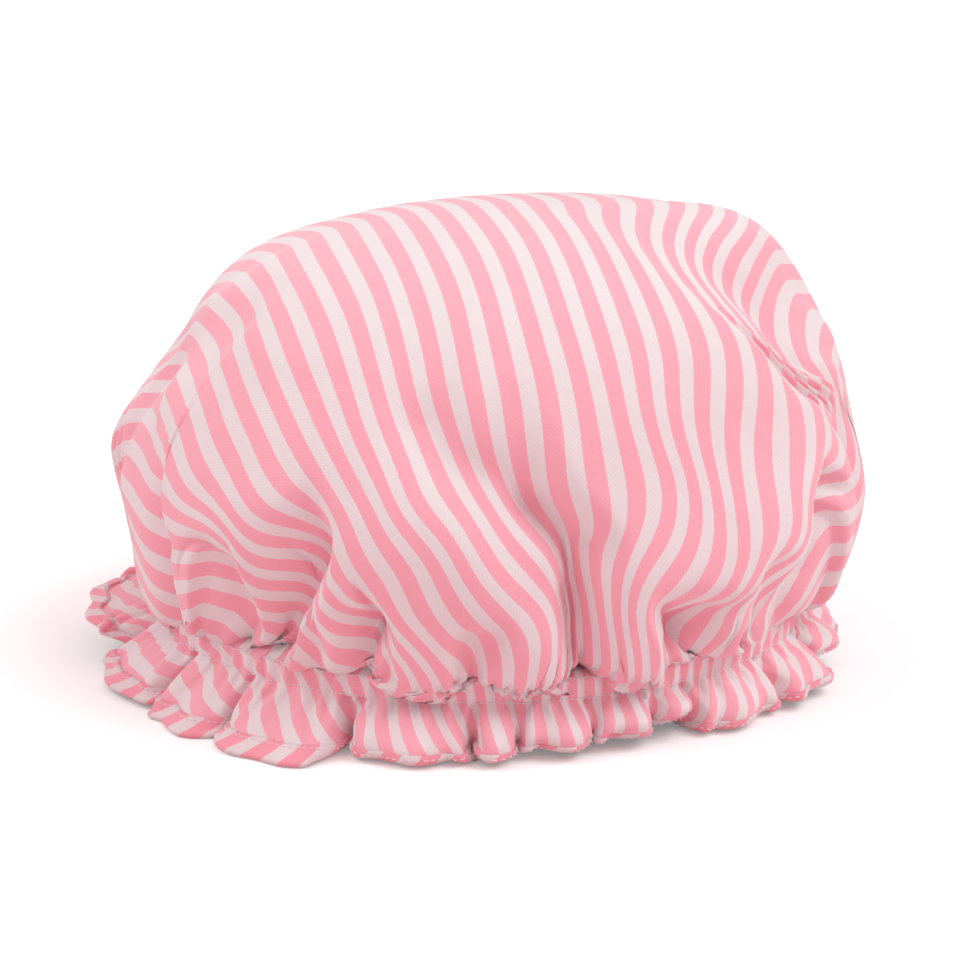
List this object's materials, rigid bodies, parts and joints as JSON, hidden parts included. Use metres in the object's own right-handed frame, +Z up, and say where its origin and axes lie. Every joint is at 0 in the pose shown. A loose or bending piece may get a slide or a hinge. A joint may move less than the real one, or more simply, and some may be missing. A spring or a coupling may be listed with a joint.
{
  "type": "shower cap",
  "caption": "Gathered double-layer shower cap of striped cloth with a waterproof lining, an elastic channel and a bound frill, puffed out and standing on its edge.",
  "frame": {"origin": "middle of the cap's box, on the surface that the frill stands on", "axes": "+Z up through the crown; -Y towards the side that the picture shows; +X to the right in the picture"},
  "size_m": [0.2896, 0.272, 0.1711],
  "materials": {
    "striped_cloth": "matte",
    "lining_film": "satin",
    "woven_elastic": "matte",
    "binding_cloth": "matte"
  },
  "bodies": {
    "root": {"outer_cloth": "striped_cloth", "waterproof_lining": "lining_film", "elastic_band": "woven_elastic", "edge_binding": "binding_cloth"}
  },
  "joints": []
}
